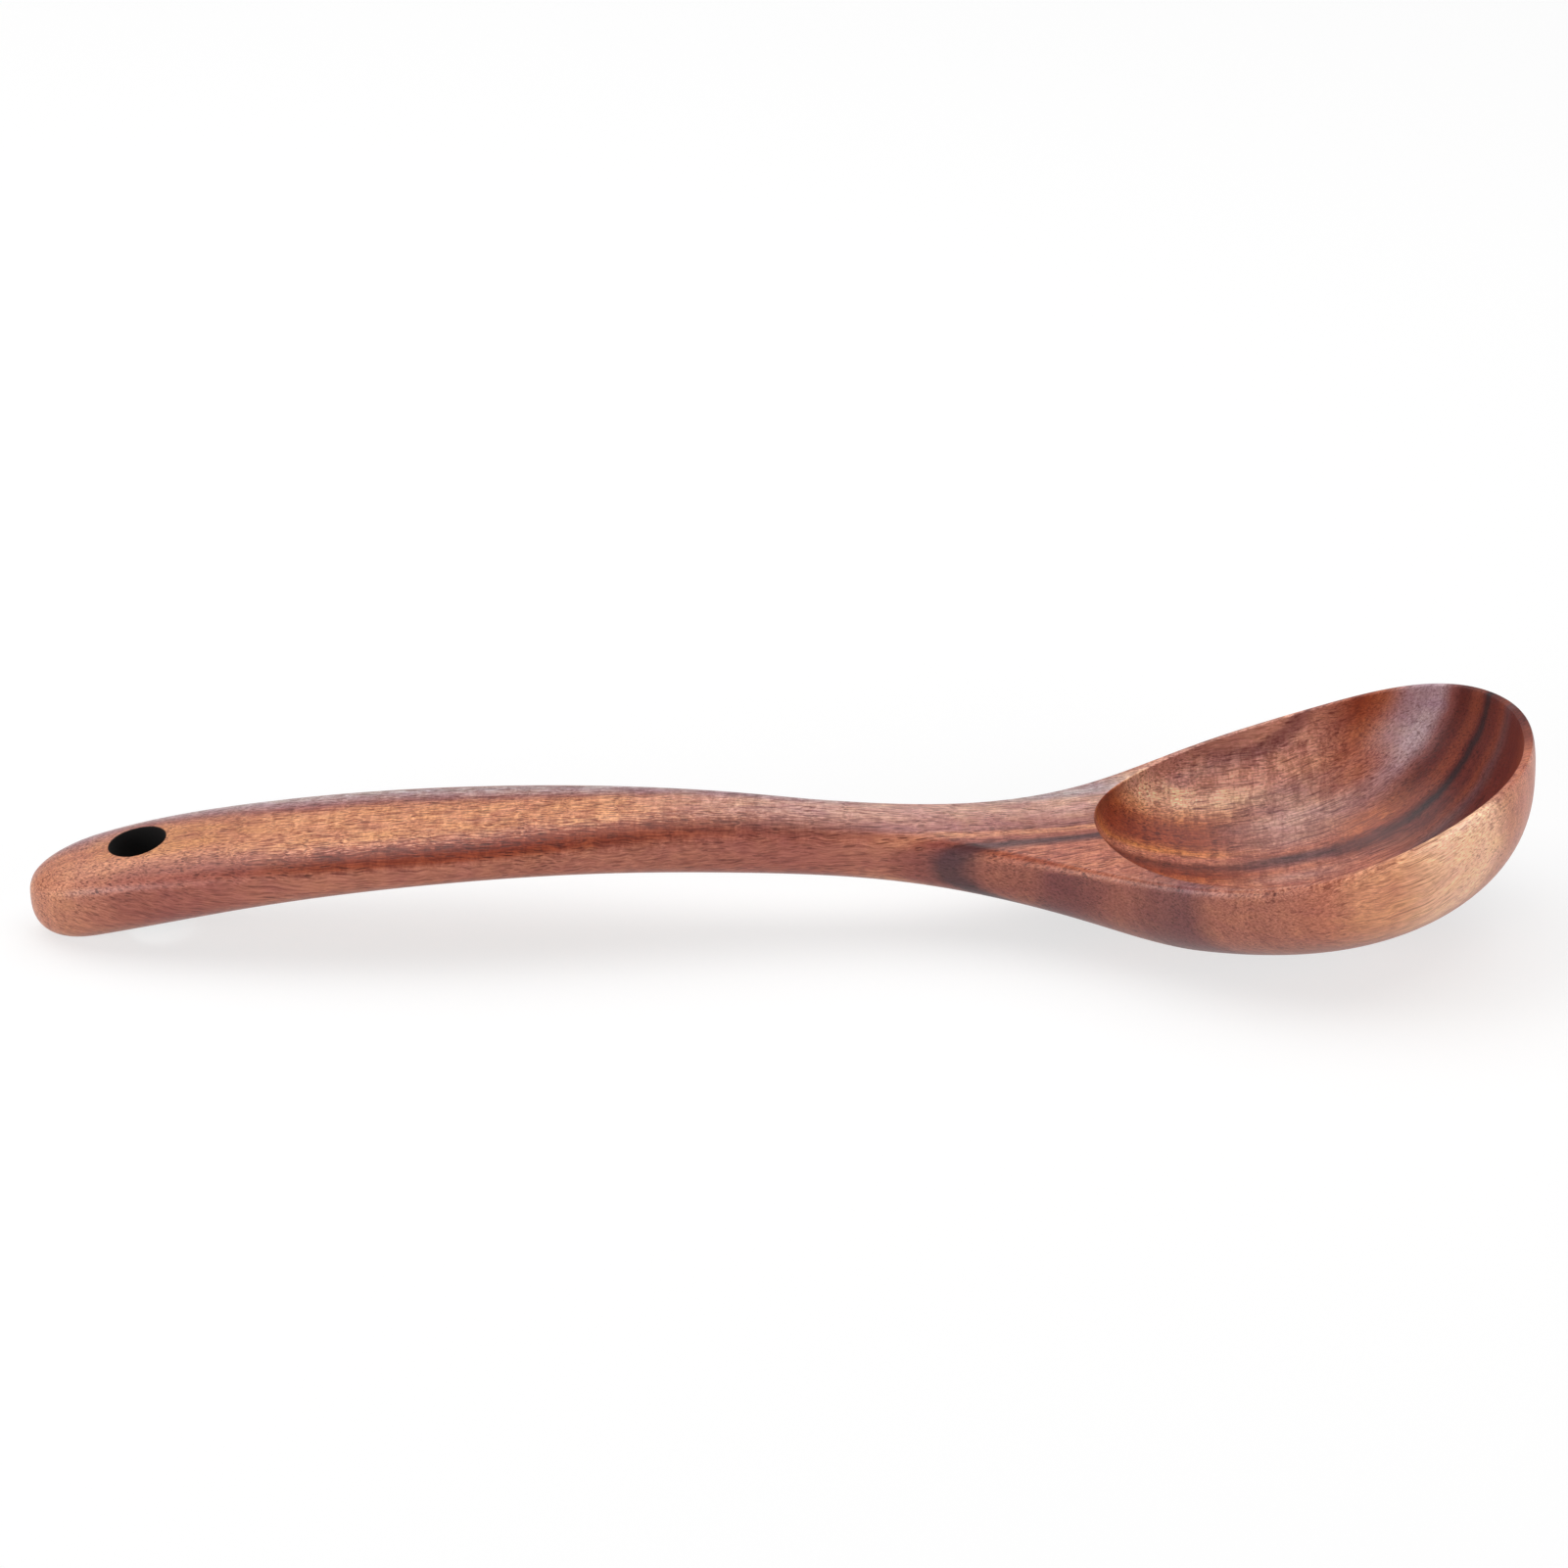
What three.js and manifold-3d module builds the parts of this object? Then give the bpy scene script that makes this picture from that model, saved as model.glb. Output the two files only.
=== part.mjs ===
// Carved wooden ladle in one piece: grip, neck, shoulder and bowl, with a hanging hole.
// Millimetres, +Z up. The ladle lies on its bowl and on the heel of its handle, with +X from the
// handle's end to the bowl's tip, and the origin under the middle of its length.

import * as THREE from 'three';
import { ParametricGeometry } from 'three/addons/geometries/ParametricGeometry.js';
import { mergeVertices } from 'three/addons/utils/BufferGeometryUtils.js';
import Module from 'manifold-3d';

// Lengths along the ladle, each from the section before it, starting at the end of the handle
const endToHeel = 12;
const heelToGrip = 36;
const gripToPalm = 52;
const palmToWaist = 48;
const waistToNeck = 40;
const neckToShoulder = 38;
const shoulderToFoot = 24;
const footToWidest = 26.5;
const widestToLip = 32.5;
const lipToTip = 11;

// Height of the top line over the table
const endTop = 15.2;
const heelTop = 18.6;
const gripTop = 24.7;
const palmTop = 28.8;
const waistTop = 29.6;
const neckTop = 25.6;
const shoulderTop = 23.1;
const footTop = 25.4;
const widestTop = 31.3;
const lipTop = 43;
const tipTop = 46;

// Thickness under the top line, as far as the shoulder
const endThickness = 17.9;
const heelThickness = 18.4;
const gripThickness = 15.5;
const palmThickness = 12.5;
const waistThickness = 15;
const neckThickness = 14.3;
const shoulderThickness = 19.4;

// Width across the ladle
const endWidth = 16.8;
const heelWidth = 23.5;
const gripWidth = 32.7;
const palmWidth = 31.6;
const waistWidth = 19.4;
const neckWidth = 17.6;
const shoulderWidth = 40.3;
const footWidth = 66;
const bowlWidth = 78.4;

// How far the widest line of the side lies below the top line
const endSideDrop = 5.3;
const palmSideDrop = 6.2;
const neckSideDrop = 5.2;
const shoulderSideDrop = 2.7;
const tipSideDrop = 9.4;

// Rounding: the handle's end, the top corners at neck and rim, and the crown of the shoulder
const endRounding = 15.9;
const neckCorner = 4.2;
const rimCorner = 1.6;
const shoulderCrown = 1.5;

// On the grip the corners grow until only this share of the top is left flat
const flatTopShare = 0.2;

// Fullness of the rounded outlines: 2 is an ellipse, more is squarer
const endFullness = 2.7;
const cornerFullness = 2.2;
const handleUndersideFullness = 2.6;
const bowlUndersideFullness = 2.1;
const noseFullness = 2.07;
const keelFullness = 2.36;

// Sanded flat under the bowl
const footDepth = 0.5;

// Hollow of the bowl
const sideRimWidth = 2;
const tipRimWidth = 2.8;
const hollowLength = 89.8;
const floorThickness = 6.5;
const hollowBackFullness = 1.9;
const hollowFrontFullness = 2.15;
const hollowWallFullness = 2.2;

// Hanging hole, square to the top of the handle
const holeDiameter = 12.4;
const holeFromEnd = 23.4;

// How far each cutter runs past the wood
const cutterOverrun = 6;

// Facets
const endRings = 8;
const bodyRings = 52;
const noseRings = 16;
const cornerSpans = 5;
const topSpans = 8;
const undersideSpans = 22;
const hollowSpans = 56;
const hollowRings = 11;
const holeSides = 36;

const heelStation = endToHeel;
const gripStation = heelStation + heelToGrip;
const palmStation = gripStation + gripToPalm;
const waistStation = palmStation + palmToWaist;
const neckStation = waistStation + waistToNeck;
const shoulderStation = neckStation + neckToShoulder;
const footStation = shoulderStation + shoulderToFoot;
const widestStation = footStation + footToWidest;
const lipStation = widestStation + widestToLip;
const overallLength = lipStation + lipToTip;
const halfLength = overallLength / 2;
const noseLength = overallLength - widestStation;
const sectionSpans = 2 * cornerSpans + topSpans + undersideSpans;

const smooth = (t) => t * t * (3 - 2 * t);
const share = (value, from, to) => THREE.MathUtils.clamp((value - from) / (to - from), 0, 1);

// Curve of even bending through points [station, size], straight at its start.
// It ends straight too, or level where levelEnd is true.
function fairCurve(points, levelEnd = false) {
  const count = points.length;
  const last = count - 1;
  const run = points.slice(1).map((point, i) => point[0] - points[i][0]);
  const rise = run.map((length, i) => (points[i + 1][1] - points[i][1]) / length);
  const factor = new Array(count).fill(0);
  const bend = new Array(count).fill(0);
  for (let i = 1; i < last; i++) {
    const pivot = 2 * (run[i - 1] + run[i]) - run[i - 1] * factor[i - 1];
    factor[i] = run[i] / pivot;
    bend[i] = (6 * (rise[i] - rise[i - 1]) - run[i - 1] * bend[i - 1]) / pivot;
  }
  if (levelEnd) {
    bend[last] = (-6 * rise[last - 1] / run[last - 1] - bend[last - 1]) / (2 - factor[last - 1]);
  }
  for (let i = last - 1; i > 0; i--) {
    bend[i] -= factor[i] * bend[i + 1];
  }
  const spanAt = (station) => {
    let i = 0;
    while (i < last - 1 && station > points[i + 1][0]) i++;
    return i;
  };
  return {
    at(station) {
      const i = spanAt(station);
      const after = (station - points[i][0]) / run[i];
      const before = 1 - after;
      const sag = run[i] ** 2 / 6;
      return before * points[i][1] + after * points[i + 1][1]
        + sag * ((before ** 3 - before) * bend[i] + (after ** 3 - after) * bend[i + 1]);
    },
    slope(station) {
      const i = spanAt(station);
      const after = (station - points[i][0]) / run[i];
      const before = 1 - after;
      return rise[i] + run[i] / 6 * ((1 - 3 * before ** 2) * bend[i] + (3 * after ** 2 - 1) * bend[i + 1]);
    },
  };
}

const topLine = fairCurve([
  [0, endTop], [heelStation, heelTop], [gripStation, gripTop], [palmStation, palmTop],
  [waistStation, waistTop], [neckStation, neckTop], [shoulderStation, shoulderTop],
  [footStation, footTop], [widestStation, widestTop], [lipStation, lipTop], [overallLength, tipTop],
]);

const undersideLine = fairCurve([
  [0, endTop - endThickness], [heelStation, heelTop - heelThickness],
  [gripStation, gripTop - gripThickness], [palmStation, palmTop - palmThickness],
  [waistStation, waistTop - waistThickness], [neckStation, neckTop - neckThickness],
  [shoulderStation, shoulderTop - shoulderThickness], [footStation, -footDepth],
], true);

const widthLine = fairCurve([
  [0, endWidth], [heelStation, heelWidth], [gripStation, gripWidth], [palmStation, palmWidth],
  [waistStation, waistWidth], [neckStation, neckWidth], [shoulderStation, shoulderWidth],
  [footStation, footWidth], [widestStation, bowlWidth],
], true);

const sideDropLine = fairCurve([
  [0, endSideDrop], [palmStation, palmSideDrop], [neckStation, neckSideDrop],
  [shoulderStation, shoulderSideDrop], [overallLength, tipSideDrop],
]);

// Rounded fall of an outline: 1 at the start of the rounding and 0 at its end.
const roundedFall = (t, fullness) => Math.max(1 - t ** fullness, 0) ** (1 / fullness);

// Cross-section of the uncut ladle: half width, height of the widest line, rise above it,
// fall below it, width of the rounded top corner, and how full the underside is.
function sectionAt(station) {
  const nose = share(station, widestStation, overallLength);
  const noseFall = roundedFall(nose, noseFullness);
  const noseSlope = -bowlWidth / noseLength * (nose / noseFall) ** (noseFullness - 1);
  const inNose = station > widestStation;
  const width = inNose ? bowlWidth * noseFall : widthLine.at(station);
  const widthSlope = inNose ? noseSlope : widthLine.slope(station);

  const sideDrop = sideDropLine.at(station);
  const middle = topLine.at(station) - sideDrop;
  const keel = roundedFall(share(station, footStation, overallLength), keelFullness);
  const underside = station > footStation ? middle - (middle + footDepth) * keel : undersideLine.at(station);

  const endFall = roundedFall(1 - share(station, 0, endRounding), endFullness);
  const lipFall = roundedFall(share(station, overallLength - rimCorner, overallLength), cornerFullness);
  const halfWidth = width / 2 * endFall;
  const beforeFoot = Math.max(footStation - station, 0) / (footStation - neckStation);
  const cornerWidth = rimCorner + (neckCorner - rimCorner) * beforeFoot ** 2;
  const slant = station > neckStation ? Math.hypot(1, widthSlope / 2) : 1;
  return {
    halfWidth,
    middle,
    rise: sideDrop * endFall * lipFall,
    fall: (middle - underside) * endFall,
    corner: Math.min(halfWidth * (1 - flatTopShare), cornerWidth * slant),
    undersideFullness: THREE.MathUtils.lerp(handleUndersideFullness, bowlUndersideFullness,
      smooth(share(station, waistStation, widestStation))),
  };
}

// Crown of the shoulder: a low hump across the top, which dies out in the neck and in the bowl.
function crownAt(station, across) {
  const along = smooth(share(station, waistStation, shoulderStation))
    * (1 - smooth(share(station, footStation, widestStation)));
  return shoulderCrown * along * (1 - Math.min(across ** 2, 1));
}

function topHeight(station, y) {
  const section = sectionAt(station);
  return section.middle + section.rise + crownAt(station, y / (section.halfWidth - section.corner));
}

// Point of the outside: v goes round the section, over the corner at -Y, the top, the corner at +Y
// and the underside, and station goes along the ladle.
function outsidePoint(station, v, target) {
  const section = sectionAt(station);
  const flat = section.halfWidth - section.corner;
  const spans = v * sectionSpans;
  const overTop = spans - cornerSpans;
  const overFar = overTop - topSpans;
  const under = overFar - cornerSpans;
  let y;
  let z;
  if (under > 0) {
    const turn = Math.PI * under / undersideSpans;
    const power = 2 / section.undersideFullness;
    y = section.halfWidth * Math.sign(Math.cos(turn)) * Math.abs(Math.cos(turn)) ** power;
    z = section.middle - section.fall * Math.max(Math.sin(turn), 0) ** power;
  } else if (overTop >= 0 && overFar <= 0) {
    const across = 2 * overTop / topSpans - 1;
    y = flat * across;
    z = section.middle + section.rise + crownAt(station, across);
  } else {
    const side = overTop < 0 ? -1 : 1;
    const turn = Math.PI / 2 * (side < 0 ? spans : cornerSpans - overFar) / cornerSpans;
    const power = 2 / cornerFullness;
    y = side * (flat + section.corner * Math.max(Math.cos(turn), 0) ** power);
    z = section.middle + section.rise * Math.sin(turn) ** power;
  }
  target.set(station - halfLength, y, z);
}

// Rings crowd together where the end and the nose round off.
function ringStations() {
  const stations = [];
  for (let i = 0; i < endRings; i++) {
    stations.push(endRounding * (1 - Math.cos(Math.PI / 2 * i / endRings)));
  }
  for (let i = 0; i < bodyRings; i++) {
    stations.push(THREE.MathUtils.lerp(endRounding, widestStation, i / bodyRings));
  }
  for (let i = 0; i <= noseRings; i++) {
    stations.push(THREE.MathUtils.lerp(widestStation, overallLength, Math.sin(Math.PI / 2 * i / noseRings)));
  }
  return stations;
}

function outsideGeometry() {
  const stations = ringStations();
  const rings = stations.length - 1;
  return new ParametricGeometry(
    (u, v, target) => outsidePoint(stations[Math.round(u * rings)], v, target), rings, sectionSpans);
}

// Rounded outline of the hollow about its widest place, at a turn from the tip.
function hollowOutline(turn) {
  const frontLength = noseLength - tipRimWidth;
  const inFront = Math.cos(turn) > 0;
  const length = inFront ? frontLength : hollowLength - frontLength;
  const power = 2 / (inFront ? hollowFrontFullness : hollowBackFullness);
  return {
    along: length * Math.sign(Math.cos(turn)) * Math.abs(Math.cos(turn)) ** power,
    across: (bowlWidth / 2 - sideRimWidth) * Math.sign(Math.sin(turn)) * Math.abs(Math.sin(turn)) ** power,
  };
}

// The cutter of the hollow rises from the floor to the rim as a rounded wall, goes on straight up
// past the rim, and closes over the middle.
function hollowGeometry() {
  const widest = sectionAt(widestStation);
  const floor = widest.middle - widest.fall + floorThickness;
  const capRing = hollowRings + 2;
  return new ParametricGeometry((u, v, target) => {
    const outline = hollowOutline(2 * Math.PI * u);
    const ring = Math.round(v * capRing);
    const turn = Math.PI / 2 * Math.min(ring / hollowRings, 1);
    const power = 2 / hollowWallFullness;
    const edge = topHeight(widestStation + outline.along, outline.across);
    let spread = Math.sin(turn) ** power;
    let height = floor + (edge - floor) * (1 - Math.max(Math.cos(turn), 0) ** power);
    if (ring > hollowRings) height += cutterOverrun;
    if (ring === capRing) {
      spread = 0;
      height = tipTop + cutterOverrun;
    }
    target.set(
      widestStation - halfLength + spread * outline.along, spread * outline.across, height);
  }, hollowSpans, capRing);
}

// The hanging hole runs square to the top line, right through the handle.
function holeGeometry() {
  const section = sectionAt(holeFromEnd);
  const thickness = section.rise + section.fall;
  const tilt = Math.atan(topLine.slope(holeFromEnd));
  const depth = thickness / Math.cos(tilt) + 2 * cutterOverrun;
  const geometry = new THREE.CylinderGeometry(holeDiameter / 2, holeDiameter / 2, depth, holeSides);
  geometry.rotateX(Math.PI / 2);
  geometry.rotateY(-tilt);
  const down = new THREE.Vector3(Math.sin(tilt), 0, -Math.cos(tilt));
  const mouth = new THREE.Vector3(holeFromEnd - halfLength, 0, section.middle + section.rise);
  const centre = mouth.addScaledVector(down, depth / 2 - cutterOverrun);
  geometry.translate(centre.x, centre.y, centre.z);
  return geometry;
}

// Block whose top is the table, which sands the foot flat.
function tableGeometry() {
  const geometry = new THREE.BoxGeometry(
    overallLength + 2 * cutterOverrun, bowlWidth + 2 * cutterOverrun, cutterOverrun);
  geometry.translate(0, 0, -cutterOverrun / 2);
  return geometry;
}

const wasm = await Module();
wasm.setup();

function solidOf(geometry) {
  geometry.deleteAttribute('normal');
  geometry.deleteAttribute('uv');
  const merged = mergeVertices(geometry);
  const index = merged.index.array;
  const triangles = [];
  for (let i = 0; i < index.length; i += 3) {
    const [a, b, c] = [index[i], index[i + 1], index[i + 2]];
    if (a !== b && b !== c && c !== a) triangles.push(a, b, c);
  }
  return new wasm.Manifold(new wasm.Mesh({
    numProp: 3,
    vertProperties: new Float32Array(merged.attributes.position.array),
    triVerts: new Uint32Array(triangles),
  }));
}

function geometryOf(solid) {
  const mesh = solid.getMesh();
  const geometry = new THREE.BufferGeometry();
  geometry.setAttribute('position', new THREE.BufferAttribute(mesh.vertProperties, 3));
  geometry.setIndex(new THREE.BufferAttribute(mesh.triVerts, 1));
  geometry.computeVertexNormals();
  return geometry;
}

const blank = solidOf(outsideGeometry());
const carved = blank
  .subtract(solidOf(hollowGeometry()))
  .subtract(solidOf(holeGeometry()))
  .subtract(solidOf(tableGeometry()));

const oiledWood = new THREE.MeshStandardMaterial({ color: '#9c6240', roughness: 0.5, metalness: 0 });
const ladle = new THREE.Mesh(geometryOf(carved), oiledWood);
ladle.name = 'ladle';

const group = new THREE.Group();
group.add(ladle);

export default group;
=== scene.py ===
from functools import partial
import math

import bmesh
import bpy
import numpy as np
from mathutils import Matrix, Vector


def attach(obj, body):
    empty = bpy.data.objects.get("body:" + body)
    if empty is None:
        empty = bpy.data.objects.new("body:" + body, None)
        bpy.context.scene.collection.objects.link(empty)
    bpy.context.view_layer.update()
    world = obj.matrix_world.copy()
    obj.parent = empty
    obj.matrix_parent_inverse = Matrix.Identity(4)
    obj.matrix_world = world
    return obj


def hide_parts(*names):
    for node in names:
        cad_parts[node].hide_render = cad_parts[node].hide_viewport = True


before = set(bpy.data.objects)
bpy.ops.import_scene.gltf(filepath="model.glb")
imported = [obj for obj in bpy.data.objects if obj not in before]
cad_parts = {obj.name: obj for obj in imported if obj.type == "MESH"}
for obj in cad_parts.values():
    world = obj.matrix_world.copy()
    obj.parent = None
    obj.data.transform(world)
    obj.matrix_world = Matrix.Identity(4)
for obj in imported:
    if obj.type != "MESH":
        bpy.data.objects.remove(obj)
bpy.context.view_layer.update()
print("frame loaded:", sorted(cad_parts))

mm = 0.001  # all shapes below are worked out in millimetres
tiny = 1e-9  # keeps a division or a comparison safe
shortOfTip = 1e-6  # millimetres short of the very tip, where the section closes to a point

# ladle: sizes of the carved form, in millimetres from the end of the handle
ladle = {
    "length": 320.0,
    "stations": {"end": 0.0, "heel": 12.0, "grip": 48.0, "palm": 100.0, "waist": 148.0, "neck": 188.0,
                 "shoulder": 226.0, "foot": 250.0, "widest": 276.5, "lip": 309.0, "tip": 320.0},
    "top": {"end": 15.2, "heel": 18.6, "grip": 24.7, "palm": 28.8, "waist": 29.6, "neck": 25.6,
            "shoulder": 23.1, "foot": 25.4, "widest": 31.3, "lip": 43.0, "tip": 45.8},
    "thickness": {"end": 17.9, "heel": 18.4, "grip": 15.5, "palm": 12.5, "waist": 15.0, "neck": 14.3,
                  "shoulder": 19.4, "foot": 25.9},
    "width": {"end": 16.8, "heel": 23.5, "grip": 32.7, "palm": 31.6, "waist": 19.4, "neck": 17.6,
              "shoulder": 40.3, "foot": 66.0, "widest": 78.4},
    "sideDrop": {"end": 5.3, "palm": 6.2, "neck": 5.2, "shoulder": 2.7, "tip": 9.4},
    "endRounding": 15.9, "neckCorner": 4.2, "rimCorner": 1.3, "flatTopShare": 0.2, "shoulderCrown": 1.5,
    "endFullness": 2.7, "cornerFullness": 2.2, "handleUnderside": 2.6, "bowlUnderside": 2.1,
    "noseFullness": 2.07, "keelFullness": 2.36, "footDepth": 0.5,
}
hollow = {"sideRim": 2.0, "tipRim": 2.8, "length": 89.8, "floorThickness": 6.5, "backFullness": 1.9,
          "frontFullness": 2.15, "wallFullness": 2.2, "edgeEase": 0.35, "seamBeforeShoulder": 4.0}
hole = {"diameter": 12.4, "fromEnd": 23.4, "edgeEase": 0.45, "settleRounds": 12}
facets = {"end": 26, "handle": 206, "shoulder": 54, "nose": 60, "corner": 16, "top": 20, "underside": 72,
          "wall": 44, "ease": 5, "rim": 6, "holeWall": 10, "holeRim": 7, "holeRows": 18, "holeColumns": 32}
merge = {"points": 2e-6, "slivers": 1e-7}  # gaps that are closed in the finished mesh, in metres


def smooth(t):
    return t * t * (3 - 2 * t)


def share(value, low, high):
    return np.clip((value - low) / (high - low), 0, 1)


def fairCurve(sizes, levelEnd=False):
    # curve of even bending (natural cubic) through the named stations, level at its end if asked
    x = np.array([ladle["stations"][name] for name in sizes])
    y = np.array(list(sizes.values()))
    run, rise, count = np.diff(x), np.diff(y) / np.diff(x), len(x)
    matrix, right = np.eye(count), np.zeros(count)
    inner = np.arange(1, count - 1)
    matrix[inner, inner - 1] = run[:-1]
    matrix[inner, inner] = 2 * (run[:-1] + run[1:])
    matrix[inner, inner + 1] = run[1:]
    right[inner] = 6 * np.diff(rise)
    if levelEnd:
        matrix[-1, -2:] = 1, 2
        right[-1] = -6 * rise[-1] / run[-1]
    bend = np.linalg.solve(matrix, right)

    def at(station, slope=False):
        i = np.clip(np.searchsorted(x, station, side="left") - 1, 0, count - 2)
        after = (station - x[i]) / run[i]
        before = 1 - after
        if slope:
            turn = (1 - 3 * before**2) * bend[i] + (3 * after**2 - 1) * bend[i + 1]
            return rise[i] + run[i] / 6 * turn
        sag = (before**3 - before) * bend[i] + (after**3 - after) * bend[i + 1]
        return before * y[i] + after * y[i + 1] + run[i]**2 / 6 * sag
    return at


topLine = fairCurve(ladle["top"])
undersideLine = fairCurve({n: ladle["top"][n] - t for n, t in ladle["thickness"].items()}, True)
widthLine = fairCurve(ladle["width"], True)
sideDropLine = fairCurve(ladle["sideDrop"])
place = ladle["stations"]
halfLength = ladle["length"] / 2
noseLength = ladle["length"] - place["widest"]


def roundedFall(t, fullness):
    # 1 at the start of a rounded end and 0 at its tip, along a superellipse
    return np.maximum(1 - t**fullness, 0)**(1 / fullness)


def sectionAt(station):
    # half width, height of the widest line, rise above it, fall below it, top corner, fullness below
    nose = share(station, place["widest"], ladle["length"])
    noseWidth = ladle["width"]["widest"] * roundedFall(nose, ladle["noseFullness"])
    inNose = station > place["widest"]
    width = np.where(inNose, noseWidth, widthLine(np.minimum(station, place["widest"])))
    slope = np.where(inNose, 0, widthLine(np.minimum(station, place["widest"]), True))
    sideDrop = sideDropLine(station)
    middle = topLine(station) - sideDrop
    keel = roundedFall(share(station, place["foot"], ladle["length"]), ladle["keelFullness"])
    bowlUnder = middle - (middle + ladle["footDepth"]) * keel
    handleUnder = undersideLine(np.minimum(station, place["foot"]))
    underside = np.where(station > place["foot"], bowlUnder, handleUnder)
    endFall = roundedFall(1 - share(station, 0, ladle["endRounding"]), ladle["endFullness"])
    half = width / 2 * endFall
    beforeFoot = np.maximum(place["foot"] - station, 0) / (place["foot"] - place["neck"])
    corner = ladle["rimCorner"] + (ladle["neckCorner"] - ladle["rimCorner"]) * beforeFoot**2
    slant = np.where(station > place["neck"], np.hypot(1, slope / 2), 1)
    blend = smooth(share(station, place["waist"], place["widest"]))
    fullness = ladle["handleUnderside"] + (ladle["bowlUnderside"] - ladle["handleUnderside"]) * blend
    return {"half": half, "middle": middle, "rise": sideDrop * endFall,
            "fall": (middle - underside) * endFall, "fullness": fullness,
            "corner": np.minimum(half * (1 - ladle["flatTopShare"]), corner * slant)}


def topHeight(station, y):
    # flat across the middle with a low crown at the shoulder, then a rounded corner down to the widest line
    s = sectionAt(station)
    flat = s["half"] - s["corner"]
    crown = smooth(share(station, place["waist"], place["shoulder"]))
    crown = crown * (1 - smooth(share(station, place["foot"], place["widest"])))
    hump = ladle["shoulderCrown"] * crown * (1 - np.minimum((y / np.maximum(flat, tiny))**2, 1))
    over = np.clip((np.abs(y) - flat) / np.maximum(s["corner"], tiny), 0, 1)
    return s["middle"] + s["rise"] * roundedFall(over, ladle["cornerFullness"]) + hump


def undersideHeight(station, y):
    # superellipse hung below the widest line, sanded flat at the table
    s = sectionAt(station)
    across = np.clip(np.abs(y) / np.maximum(s["half"], tiny), 0, 1)
    return np.maximum(s["middle"] - s["fall"] * roundedFall(across, s["fullness"]), 0)


class Shell:
    # grids of points gathered into one mesh; shared borders are merged at the end
    def __init__(self):
        self.points, self.quads, self.count = [], [], 0

    def add(self, grid, closed=False, keep=None):
        rows, columns = grid.shape[:2]
        index = np.arange(rows * columns).reshape(rows, columns) + self.count
        if closed:
            index = np.concatenate([index, index[:, :1]], 1)
        quads = np.stack([index[:-1, :-1], index[1:, :-1], index[1:, 1:], index[:-1, 1:]], -1)
        self.quads.append(quads.reshape(-1, 4) if keep is None else quads[keep])
        self.points.append(grid.reshape(-1, 3))
        self.count += rows * columns

    def mesh(self, name):
        quads = np.concatenate(self.quads)
        used, renumbered = np.unique(quads, return_inverse=True)  # leaves out the points of the windows
        points = np.concatenate(self.points)[used] * mm
        quads = renumbered.reshape(-1, 4)
        data = bpy.data.meshes.new(name)
        data.vertices.add(len(points))
        data.vertices.foreach_set("co", points.astype(np.float32).ravel())
        data.loops.add(quads.size)
        data.loops.foreach_set("vertex_index", quads.astype(np.int32).ravel())
        data.polygons.add(len(quads))
        data.polygons.foreach_set("loop_start", np.arange(0, quads.size, 4, dtype=np.int32))
        data.update(calc_edges=True)
        work = bmesh.new()
        work.from_mesh(data)
        bmesh.ops.remove_doubles(work, verts=work.verts, dist=merge["points"])
        bmesh.ops.dissolve_degenerate(work, edges=work.edges, dist=merge["slivers"])
        bmesh.ops.recalc_face_normals(work, faces=work.faces)
        work.to_mesh(data)
        work.free()
        data.polygons.foreach_set("use_smooth", np.ones(len(data.polygons), bool))
        return data


def outsideGrid(stations):
    # rows along the ladle, columns round the section: corner at -Y, top, corner at +Y, underside
    s = {name: value[:, None] for name, value in sectionAt(stations).items()}
    flat = s["half"] - s["corner"]
    turn = np.pi / 2 * np.arange(facets["corner"]) / facets["corner"]
    cornerY = flat + s["corner"] * np.cos(turn)**(2 / ladle["cornerFullness"])
    cornerZ = s["middle"] + s["rise"] * np.sin(turn)**(2 / ladle["cornerFullness"])
    across = np.linspace(-1, 1, facets["top"] + 1)
    topY = flat * across
    topZ = topHeight(stations[:, None], topY)
    under = np.pi * np.arange(facets["underside"]) / facets["underside"]
    power = 2 / s["fullness"]
    underY = s["half"] * np.sign(np.cos(under)) * np.abs(np.cos(under))**power
    underZ = np.maximum(s["middle"] - s["fall"] * np.sin(under)**power, 0)
    y = np.concatenate([-cornerY, topY, cornerY[:, :0:-1], underY], 1)
    z = np.concatenate([cornerZ, topZ, cornerZ[:, :0:-1], underZ], 1)
    x = np.broadcast_to(stations[:, None] - halfLength, y.shape)
    return np.stack([x, y, z], -1)


def signedPower(value, power):
    return np.sign(value) * np.abs(value)**power


def noseOutline(turn):
    # superellipse of the nose in plan about the widest place, with its outward normal
    power = 2 / ladle["noseFullness"]
    side = ladle["width"]["widest"] / 2
    along, across = signedPower(np.cos(turn), power), signedPower(np.sin(turn), power)
    outward = np.stack([np.abs(along)**(ladle["noseFullness"] - 1) / noseLength,
                        signedPower(across, ladle["noseFullness"] - 1) / side], -1)
    outward /= np.linalg.norm(outward, axis=-1, keepdims=True)
    return np.stack([noseLength * along, side * across], -1), outward


def noseCorner(turn):
    # rim's outer rounding round the nose, from its widest line (row 0) up to the flat of the rim
    outline, outward = noseOutline(turn)
    rise = np.pi / 2 * np.arange(facets["corner"] + 1)[:, None] / facets["corner"]
    power = 2 / ladle["cornerFullness"]
    inset = ladle["rimCorner"] * (1 - np.cos(rise)**power)
    plan = outline[None] - inset[..., None] * outward[None]
    station = place["widest"] + plan[..., 0]
    drop = sideDropLine(place["widest"] + outline[:, 0])[None] * (1 - np.sin(rise)**power)
    return np.stack([station - halfLength, plan[..., 1], topLine(station) - drop], -1)


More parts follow.
